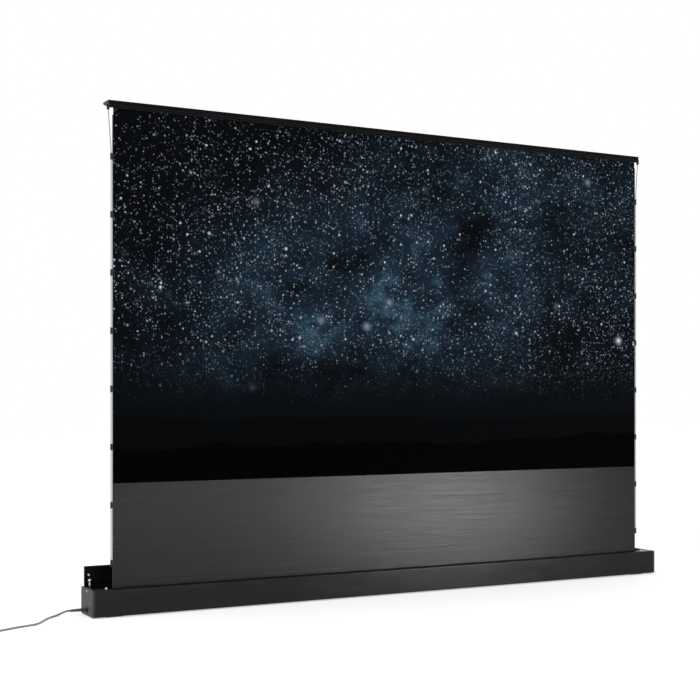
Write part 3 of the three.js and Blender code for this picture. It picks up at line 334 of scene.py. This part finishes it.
# Leader cloth: the satin black that shows a soft pool of light.
leader_vinyl = coated_cloth(
    "black_leader_cloth", "#100f0f", "#141312", rough=0.265, specular=0.15, thread=0.5, groove_depth=0.2)
# Black backing behind both cloths, which keeps light from coming through: dull, with the weave open.
backing = coated_cloth(
    "black_backing", "#0c0c0c", "#121212", rough=0.6, specular=0.15, thread=0.6, groove_depth=0.02)
# Edge webbing: the same black, coarser and duller.
edge_web = coated_cloth(
    "black_edge_webbing", "#111111", "#1a1a1a", rough=0.6, specular=0.3, thread=0.7, groove_depth=0.02)
# Tension cords: pale enough to read as a thin grey line on a white ground. A 0.5 mm strand is drawn at 1 mm.
cord_braid = braided_cord("grey_coated_braid", "#77787a", "#b2b3b6", rough=0.5, strands=4, pitch_mm=2.0)

FINISHES = {
    charcoal: ["housing", "end_cover_left", "end_cover_right"],
    bar_black: ["top_bar", "lid_strap_left", "lid_strap_right"],
    cap_grey: ["end_cap_left", "end_cap_right"],
    # The lid's blacker coat is partly painted shade for its inside.
    black_coat_and_lid_shade: ["lid", "roller_bracket_left", "roller_bracket_right", "arm_bracket_left",
                  "arm_bracket_right", "cord_anchor_left", "cord_anchor_right",
                  "stay_bracket_left", "stay_bracket_right"],
    black_plastic: ["service_socket", "drive_adapter", "idler_plug", "control_unit",
                    "top_bar_end_left", "top_bar_end_right"],
    rubber: ["foot_front_left", "foot_front_right", "foot_rear_left", "foot_rear_right"],
    bright: ["cap_screw_left", "cap_screw_right", "cover_screw_left", "cover_screw_right",
             "lid_stay_left", "lid_stay_right",
             "base_pin_left", "base_pin_right", "elbow_pin_left", "elbow_pin_right",
             "top_pin_left", "top_pin_right"],
    zinc: ["lift_spring_left", "lift_spring_right"],
    arm_metal: ["lower_arm_left", "lower_arm_right", "upper_arm_left", "upper_arm_right"],
    tube_metal: ["roller_tube", "tube_motor"],
}
for material, names in FINISHES.items():
    for name in names:
        nodes[name].data.materials.clear()
        nodes[name].data.materials.append(material)


def paint_near(obj, centre, reach, material):
    """Gives a second material to the faces whose middles lie within reach of a point, in mm."""
    obj.data.materials.append(material)
    index = len(obj.data.materials) - 1
    for face in obj.data.polygons:
        if (face.center - Vector(centre) * MM).length < reach * MM:
            face.material_index = index


# A stay bracket's bare metal, in mm: its ball, and the ring of its rivet, as places along Y and Z.
BRACKET_X = 1188
BALL, BALL_REACH = (49, 115), 4.7
RING, RING_REACH = (60.6, 133), 3.6
for side, hand in (("left", -1), ("right", 1)):
    bracket = nodes["stay_bracket_" + side]
    paint_near(bracket, (hand * BRACKET_X, *BALL), BALL_REACH, bright)
    paint_near(bracket, (hand * BRACKET_X, *RING), RING_REACH, zinc)


# Meshes
def link_mesh(name, mesh, material):
    """Puts a mesh in the scene as a smooth piece of one material."""
    mesh.shade_smooth()
    mesh.materials.append(material)
    obj = bpy.data.objects.new(name, mesh)
    scene.collection.objects.link(obj)
    return obj


def mesh_piece(name, verts, faces, material):
    mesh = bpy.data.meshes.new(name)
    mesh.from_pydata([tuple(v) for v in verts], [], faces)
    mesh.validate()
    return link_mesh(name, mesh, material)


def skin(rings, sides, closed=True):
    """Faces over that many rings of vertices, one after another, with the two ends if it is closed."""
    faces = []
    for i in range(rings - 1):
        for k in range(sides):
            a, b = i * sides + k, i * sides + (k + 1) % sides
            faces.append((a, b, b + sides, a + sides))
    if closed:
        faces.append(tuple(reversed(range(sides))))
        faces.append(tuple(range((rings - 1) * sides, rings * sides)))
    return faces


def turned(name, profile, axis_y, axis_z, sides, material):
    """A piece turned about a line along X. Its profile runs towards +X, as places along X and radii."""
    verts = []
    for x, radius in profile:
        for k in range(sides):
            turn = math.tau * k / sides
            verts.append((x, axis_y + radius * math.cos(turn), axis_z + radius * math.sin(turn)))
    obj = mesh_piece(name, verts, skin(len(profile), sides, closed=False), material)
    obj.data.set_sharp_from_angle(angle=math.radians(40))
    return obj


def smooth_path(points, per_span):
    """A Catmull-Rom line through the points."""
    pts = [Vector(p) for p in points]
    ends = [2 * pts[0] - pts[1], *pts, 2 * pts[-1] - pts[-2]]
    line = []
    for i in range(1, len(ends) - 2):
        a, b, c, d = ends[i - 1:i + 3]
        for k in range(per_span):
            t = k / per_span
            line.append(0.5 * (2 * b + (c - a) * t + (2 * a - 5 * b + 4 * c - d) * t ** 2
                               + (3 * b - a - 3 * c + d) * t ** 3))
    line.append(pts[-1])
    return line


def length_of(path):
    return sum((b - a).length for a, b in zip(path, path[1:]))


def tube(name, path, radii, sides, material):
    """A closed tube along a path, with a radius at each point, its rings turned as little as they can
    be. Its UV map counts turns round it and metres along it."""
    verts = []
    side = (path[1] - path[0]).normalized().orthogonal().normalized()
    for i, (point, radius) in enumerate(zip(path, radii)):
        tangent = (path[min(i + 1, len(path) - 1)] - path[max(i - 1, 0)]).normalized()
        side = (side - tangent * side.dot(tangent)).normalized()
        other = tangent.cross(side)
        for k in range(sides):
            turn = math.tau * k / sides
            verts.append(point + radius * (math.cos(turn) * side + math.sin(turn) * other))
    obj = mesh_piece(name, verts, skin(len(path), sides), material)
    along = [length_of(path[:i + 1]) for i in range(len(path))]
    uv = obj.data.uv_layers.new(name="round_and_along").data
    for face in obj.data.polygons:
        corners = [(i, *divmod(obj.data.loops[i].vertex_index, sides)) for i in face.loop_indices]
        turns = [k for _, _, k in corners]
        wraps = len(corners) == 4 and max(turns) - min(turns) > 1
        for i, ring, k in corners:
            uv[i].uv = ((k + sides * (wraps and k == 0)) / sides, along[ring])
    return obj


# Camera, floor and light

# The camera is fitted to the corners of the base, the cloth and the top bar.
EYE = (-2.5594, -4.3947, 0.7525)
HEADING = 28.2
LENS = 68.54
LENS_SHIFT = 0.0633
camera = bpy.data.objects.new("camera", bpy.data.cameras.new("camera"))
scene.collection.objects.link(camera)
camera.data.sensor_width = 36
camera.data.lens = LENS
camera.data.shift_y = LENS_SHIFT
camera.data.clip_end = 60
camera.location = EYE
camera.rotation_euler = (math.radians(90), 0, math.radians(-HEADING))
scene.camera = camera
scene.view_settings.view_transform = "Standard"


def seen_directly(tree):
    """1 where the camera, a gloss or clear glass sees the surface, and 0 where it lights others."""
    gloss = add(tree, "LightPath", out="Is Glossy Ray")
    glass = add(tree, "LightPath", out="Is Transmission Ray")
    eye = add(tree, "LightPath", out="Is Camera Ray")
    either = add(tree, "Math", (gloss, glass), operation="MAXIMUM")
    return add(tree, "Math", (eye, either), operation="MAXIMUM")


def studio_floor(half):
    """Painted studio floor: it stays white as far as the horizon, and still takes a soft shadow."""
    paint, tree = new_material("pale_floor")
    unevenness = add(tree, "TexNoise", laid_out(tree, (900, 900, 900), Detail=3))
    tone = add(tree, "ValToRGB", (unevenness,), stops=((0.3, "#f4f4f4"), (0.7, "#f8f8f8")))
    glow = add(tree, "Math", (seen_directly(tree), 0.4), operation="MULTIPLY")
    shader = add(tree, "BsdfPrincipled", {
        "Base Color": tone, "Roughness": 0.9, "Specular IOR Level": 0.0,
        "Emission Color": lin("#ffffff"), "Emission Strength": glow})
    add(tree, "OutputMaterial", (shader,))
    corners = [(-half, -half, 0), (half, -half, 0), (half, half, 0), (-half, half, 0)]
    mesh_piece("floor", corners, [(0, 1, 2, 3)], paint)


def white_surroundings():
    """White all round where it is seen, and a plain level of light elsewhere."""
    world = bpy.data.worlds.new("studio")
    scene.world = world
    world.use_nodes = True
    tree = world.node_tree
    tree.nodes.clear()
    strength = add(tree, "Math", (seen_directly(tree), 0.3, 0.7), operation="MULTIPLY_ADD")
    add(tree, "OutputWorld", (add(tree, "Background", (lin("#ffffff"), strength)),))


def soft_light(name, place, target, size, watts):
    """A soft box at a place, turned to a target, of that width and height in metres."""
    data = bpy.data.lights.new(name, "AREA")
    data.shape = "RECTANGLE"
    data.size, data.size_y = size
    data.energy = watts
    light = bpy.data.objects.new(name, data)
    scene.collection.objects.link(light)
    light.location = place
    light.rotation_euler = (Vector(target) - Vector(place)).to_track_quat("-Z", "Y").to_euler()


studio_floor(half=20)
white_surroundings()
# The key stands low and near, so that its reflection is the wide pool of light on the leader, and the
# side panel lifts the leader's left end.
soft_light("key_light", (1.72, -2.6, 0.13), (0.12, 0, 0.4), (0.76, 0.22), 48)
soft_light("side_light", (0.35, -4.6, 0.3), (-1.1, 0, 0.4), (1.6, 0.4), 24)
soft_light("fill_light", (-3.5, -2.5, 3.0), (0, 0, 0.8), (2.0, 2.0), 60)

# Mains cord

# All its places are in mm. It leaves the left end cap straight out, at the middle of its strain relief.
CORD_R = 3.5
CAP_FACE = -1213
EXIT_Y, EXIT_Z = 57.5, 15
# Its route: through the strain relief, down to the floor, and over it to where the coil starts.
ROUTE = [
    (-1214, EXIT_Y, EXIT_Z), (-1233, EXIT_Y, EXIT_Z), (-1253.5, EXIT_Y, EXIT_Z), (-1262, EXIT_Y, EXIT_Z),
    (-1274, 57.7, 12.6), (-1287, 56, 8), (-1303, 48, 4.4), (-1323, 32, 3.6), (-1344, 8, 3.6),
    (-1365, -24, 3.6), (-1386, -58, 3.6), (-1408, -86, 3.6), (-1438, -101, 3.6), (-1475, -115, 3.6),
    (-1505, -131, 3.6), (-1531, -145, 3.6), (-1554, -157.4, 3.6), (-1577, -169.8, 3.6),
]
# The coil winds in on the floor, and out again a layer up, by this many turns each way.
TURNS_HALF = 3.25
STEPS_A_TURN = 24
# Its least radius, the pitch of its turns and layers, and how many turns from its middle the climb
# starts and ends.
INNER = 28
PITCH = 7.6
CLIMB_TURNS = 0.25
# A short lead runs from the route to the coil, and a straight tail from the coil to the plug. Each part
# of the lead starts a little past the one before.
LEAD = 7
TAIL = 50
SEAT = 0.3
PLUG_HEIGHT = 13.7


def smoothstep(x, low, high):
    t = min(max((x - low) / (high - low), 0), 1)
    return t * t * (3 - 2 * t)


def coil_radius(turns):
    return INNER + PITCH * abs(turns - TURNS_HALF)


def coil_path():
    """The stored coil: in on the floor, up a layer, out again, and down to the plug."""
    end, before = Vector(ROUTE[-1]), Vector(ROUTE[-2])
    heading = Vector((end.x - before.x, end.y - before.y, 0)).normalized()
    side = Vector((heading.y, -heading.x, 0))
    centre = end + heading * (SEAT + LEAD) + side * coil_radius(0)
    points = []
    for i in range(int(2 * TURNS_HALF * STEPS_A_TURN) + 1):
        turns = i / STEPS_A_TURN
        angle = math.tau * turns
        climb = smoothstep(turns, TURNS_HALF - CLIMB_TURNS, TURNS_HALF + CLIMB_TURNS)
        p = centre + coil_radius(turns) * (heading * math.sin(angle) - side * math.cos(angle))
        points.append(Vector((p.x, p.y, end.z + climb * PITCH)))
    last = points[-1]
    leave = Vector((last.x - points[-2].x, last.y - points[-2].y, 0)).normalized()
    drop = last.z - PLUG_HEIGHT / 2
    for share in (0.15, 0.3, 0.45, 0.6, 0.75, 0.9, 1):
        p = last + leave * share * TAIL
        points.append(Vector((p.x, p.y, last.z - drop * smoothstep(share, 0.25, 0.85))))
    return points, leave


coil, leave = coil_path()
cord_line = [p * MM for p in smooth_path(ROUTE, 5) + smooth_path([ROUTE[-1], *coil], 2)[2:]]
power_cord = tube("mains_cord", cord_line, [CORD_R * MM] * len(cord_line), 16, cord_jacket)
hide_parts("power_cord", "cord_coil")
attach(power_cord, "base")


def strain_relief():
    """A collar against the cap and a grooved taper round the cord."""
    # Places along it from the cap, and its radii there: first the collar.
    outline = [(0.0, 5.0), (0.3, 6.0), (4.6, 6.0), (5.0, 5.6)]
    # Then the taper, whose ribs go from thick to thin, with grooves of that depth between them.
    start, end = 5, 40
    ribs, thick, thin = 8, 5.5, 4.6
    groove = 0.9
    step = (end - start) / ribs
    for i in range(ribs):
        place = start + i * step
        radius = thick - (thick - thin) * i / ribs
        outline += [(place + 0.1 * step, radius - groove), (place + 0.34 * step, radius - groove),
                    (place + 0.42 * step, radius), (place + 0.94 * step, radius)]
    outline += [(end, 4.4), (end + 0.2, CORD_R + 0.1)]
    profile = [((CAP_FACE - place) * MM, radius * MM) for place, radius in reversed(outline)]
    return turned("cord_relief", profile, EXIT_Y * MM, EXIT_Z * MM, 36, relief_grey)


relief = strain_relief()
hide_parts("strain_relief")
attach(relief, "base")

# Places along the plug from its cord end in mm, with its half width and half height there.
PLUG_STATIONS = [
    (0, 4.4, 4.4), (2, 4.7, 4.7), (6, 5.1, 5.1), (10, 5.6, 5.5), (14, 6.6, 6.0), (17, 7.2, 6.6),
    (24, 7.2, 6.8), (32, 8.0, 6.8), (38, 11.0, 6.8), (42, 13.0, 6.8), (47, 13.4, 6.8),
    (49.4, 12.9, 6.3), (50, 12.2, 5.6),
]
# Its section is round at the collar, and squarer past it.
COLLAR_END, SQUARENESS = 12, 2 / 5
# Places along a pin and its radii there: a sleeve, a thinner bare end and its rounded tip.
PIN_STATIONS = [(49, 1.95), (59, 1.95), (59.2, 1.75), (66.6, 1.75), (68.2, 1.4), (69, 0.7)]
PIN_OUT = 9.5


def plug_pieces():
    """Flat two-pin plug with a waisted body, a flexible collar and two pins, at the cord's end."""
    half = PLUG_HEIGHT / 2
    sides, verts = 32, []
    for place, wide, high in PLUG_STATIONS:
        power = SQUARENESS if place > COLLAR_END else 1
        for k in range(sides):
            c, s = math.cos(math.tau * k / sides), math.sin(math.tau * k / sides)
            verts.append((place, wide * math.copysign(abs(c) ** power, c),
                          half + high * math.copysign(abs(s) ** power, s)))
    body = mesh_piece("plug_body", verts, skin(len(PLUG_STATIONS), sides), black_plastic)
    body.data.set_sharp_from_angle(angle=math.radians(50))
    pins = []
    for name, hand in (("plug_pin_a", -1), ("plug_pin_b", 1)):
        line = [Vector((place, hand * PIN_OUT, half)) for place, _ in PIN_STATIONS]
        pins.append(tube(name, line, [radius for _, radius in PIN_STATIONS], 16, bright))
    end = cord_line[-1] / MM + leave * SEAT
    turn = Matrix.Rotation(math.atan2(leave.y, leave.x), 4, "Z")
    for obj in (body, *pins):
        obj.data.transform(Matrix.Scale(MM, 4) @ Matrix.Translation((end.x, end.y, 0)) @ turn)
        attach(obj, "base")
    return body, pins


plug, plug_pins = plug_pieces()
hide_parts("mains_plug")


# Cloth
def cloth_panel(name, node, face, back, ripple_mm, low_z, high_z):
    """A tensioned cloth over its CAD solid, between two heights in metres, with its face and its back."""
    low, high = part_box(node)
    wide, tall = high.x - low.x, high_z - low_z
    middle = (low.y + high.y) / 2
    columns, rows = 120, max(12, int(tall / 0.02))
    verts, faces = [], []
    for j in range(rows + 1):
        for i in range(columns + 1):
            x, z = low.x + wide * i / columns, low_z + tall * j / rows
            # The ripple dies out at the top bar and at the bottom.
            calm = min(1, (high_z - z) / 0.05, (z - low_z) / 0.03 + 0.2)
            broad = noise.noise(Vector((x * 2.2, 3.1, z * 1.3)))
            narrow = noise.noise(Vector((x * 7, 8.2, z * 2.5)))
            verts.append((x, middle + ripple_mm * MM * calm * (broad + 0.4 * narrow), z))
    for j in range(rows):
        for i in range(columns):
            a = j * (columns + 1) + i
            faces.append((a, a + 1, a + columns + 2, a + columns + 1))
    obj = mesh_piece(name, verts, faces, face)
    obj.data.materials.append(back)
    thick = obj.modifiers.new("thickness", "SOLIDIFY")
    thick.thickness, thick.offset = high.y - low.y, 0
    thick.material_offset = thick.material_offset_rim = 1
    obj.modifiers.new("cut_edges", "EDGE_SPLIT").split_angle = math.radians(40)
    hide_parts(node)
    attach(obj, "base")
    return obj, (wide, tall)


low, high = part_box("viewing_fabric")
lead_low, lead_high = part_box("leader_fabric")
seam = (low.z + lead_high.z) / 2
picture = night_picture("night_picture_cloth", low.z, high.z, high.x)
view_cloth, view_size = cloth_panel(
    "viewing_cloth", "viewing_fabric", picture, backing, ripple_mm=0.1, low_z=seam, high_z=high.z)
lead_cloth, lead_size = cloth_panel(
    "leader_cloth", "leader_fabric", leader_vinyl, backing, ripple_mm=0.15, low_z=lead_low.z, high_z=seam)

# Edge tabs and tension cords

# All in mm, and those along X from the middle plane. First the plane of the cloth, and the inner edge
# and size of the strip that is welded to it, which is drawn in lengths with a nick between them.
FABRIC_Y = -33
STRIP_X = 1132.3
STRIP_WIDTH, STRIP_HALF_THICK = 2.7, 0.6
STRIP_LENGTHS, STRIP_NICK = 60, 0.05
# The heights of the lowest and highest tab, and how far a tab starts inside the strip and ends short of
# the cord.
TABS, FIRST_TAB, LAST_TAB = 8, 180, 1559
TAB_HEIGHT, TAB_HALF_THICK = 22, 0.8
TAB_INSET, TAB_SHORT = 0.3, 2.5
EYELET_R, EYELET_BORE_R = 3.3, 2.3
CORD_X, ANCHOR_X = 1139, 1149.1
TENSION_R = 2


def add_block(bm, x_ends, y_half, z0, z1, bevel):
    """A block across the cloth's plane with bevelled edges. In mm."""
    x0, x1 = sorted(x_ends)
    low = Vector((x0, FABRIC_Y - y_half, z0)) * MM
    high = Vector((x1, FABRIC_Y + y_half, z1)) * MM
    made = bmesh.ops.create_cube(bm, size=1)["verts"]
    bmesh.ops.scale(bm, vec=high - low, verts=made)
    bmesh.ops.translate(bm, vec=(low + high) / 2, verts=made)
    edges = list({edge for vert in made for edge in vert.link_edges})
    bmesh.ops.bevel(bm, geom=edges, offset=bevel * MM, segments=2, affect="EDGES", profile=0.7)


def add_eyelet(bm, x, z0, z1, sides=16):
    """An upright eyelet tube for the cord. In mm."""
    loops = []
    for radius, z in ((EYELET_R, z0), (EYELET_R, z1), (EYELET_BORE_R, z1), (EYELET_BORE_R, z0)):
        loop = []
        for k in range(sides):
            turn = math.tau * k / sides
            place = Vector((x + radius * math.cos(turn), FABRIC_Y + radius * math.sin(turn), z))
            loop.append(bm.verts.new(place * MM))
        loops.append(loop)
    for a, b in zip(loops, loops[1:] + loops[:1]):
        for k in range(sides):
            bm.faces.new((a[k], a[(k + 1) % sides], b[(k + 1) % sides], b[k]))


def edge_strip(side, hand):
    """The welded strip along one edge of the cloth, with its tabs and their eyelets."""
    low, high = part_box("tab_strip_" + side)
    step = (high.z - low.z) / STRIP_LENGTHS / MM
    strip_ends = (hand * STRIP_X, hand * (STRIP_X + STRIP_WIDTH))
    tab_ends = (hand * (STRIP_X + TAB_INSET), hand * (CORD_X - TAB_SHORT))
    bm = bmesh.new()
    for k in range(STRIP_LENGTHS):
        z0 = low.z / MM + k * step
        add_block(bm, strip_ends, STRIP_HALF_THICK, z0 + STRIP_NICK, z0 + step, bevel=0.2)
    for i in range(TABS):
        z = FIRST_TAB + i * (LAST_TAB - FIRST_TAB) / (TABS - 1)
        z0, z1 = z - TAB_HEIGHT / 2, z + TAB_HEIGHT / 2
        add_block(bm, tab_ends, TAB_HALF_THICK, z0, z1, bevel=0.35)
        add_eyelet(bm, hand * CORD_X, z0, z1)
    mesh = bpy.data.meshes.new("edge_tabs_" + side)
    bmesh.ops.recalc_face_normals(bm, faces=bm.faces)
    bm.to_mesh(mesh)
    bm.free()
    strip = link_mesh(mesh.name, mesh, edge_web)
    mesh.set_sharp_from_angle(angle=math.radians(40))
    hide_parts("tab_strip_" + side)
    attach(strip, "base")
    return strip


def edge_cord(side, hand):
    """A tension cord: straight up through the eyelets, then out to its anchor under the top bar."""
    low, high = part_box("tension_cord_" + side)
    start = Vector((hand * CORD_X * MM, FABRIC_Y * MM, low.z))
    bend = Vector((start.x, start.y, (LAST_TAB + TAB_HEIGHT) * MM))
    anchor = Vector((hand * ANCHOR_X * MM, start.y, high.z))
    line = [start.lerp(bend, k / 60) for k in range(61)] + [bend.lerp(anchor, k / 8) for k in range(1, 9)]
    cord = tube("edge_cord_" + side, line, [TENSION_R * MM] * len(line), 14, cord_braid)
    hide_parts("tension_cord_" + side)
    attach(cord, "base")
    return cord


strips, cords = [], []
for side, hand in (("left", -1), ("right", 1)):
    strips.append(edge_strip(side, hand))
    cords.append(edge_cord(side, hand))

# Each cloth, strip and cord gets a mesh of its own.
for cloth, size, hems in ((view_cloth, view_size, strips), (lead_cloth, lead_size, [])):
    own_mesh(cloth)
for strip, cord in zip(strips, cords):
    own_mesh(strip)
    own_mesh(cord)


# Wound cloth on the roller
def wound_cloth():
    """The wound leader cloth: a smooth roll round the tube, eased at its two ends."""
    low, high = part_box("fabric_wrap")
    outer = (high.z - low.z) / 2
    bore = 22.8 * MM
    ease, ease_width = 0.15 * MM, 2 * MM
    lengths = 24
    profile = [(low.x, bore), (low.x, outer - ease), (low.x + ease_width, outer)]
    profile += [(low.x + (high.x - low.x) * k / lengths, outer) for k in range(1, lengths)]
    profile += [(high.x - ease_width, outer), (high.x, outer - ease), (high.x, bore)]
    return turned("wound_cloth", profile, (low.y + high.y) / 2, (low.z + high.z) / 2, 96, leader_vinyl)


wound = wound_cloth()
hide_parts("fabric_wrap")
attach(wound, "roller")


# Made parts from the frame
def soften(obj, degrees=34):
    """Smooth shading over round faces, with sharp edges and flat faces kept."""
    obj.modifiers.new("weld", "WELD").merge_threshold = 0.01 * MM
    obj.modifiers.new("split", "EDGE_SPLIT").split_angle = math.radians(degrees)
    obj.modifiers.new("flat", "WEIGHTED_NORMAL").weight = 60
    obj.data.shade_smooth()


for obj in nodes.values():
    if not obj.hide_render:
        soften(obj)
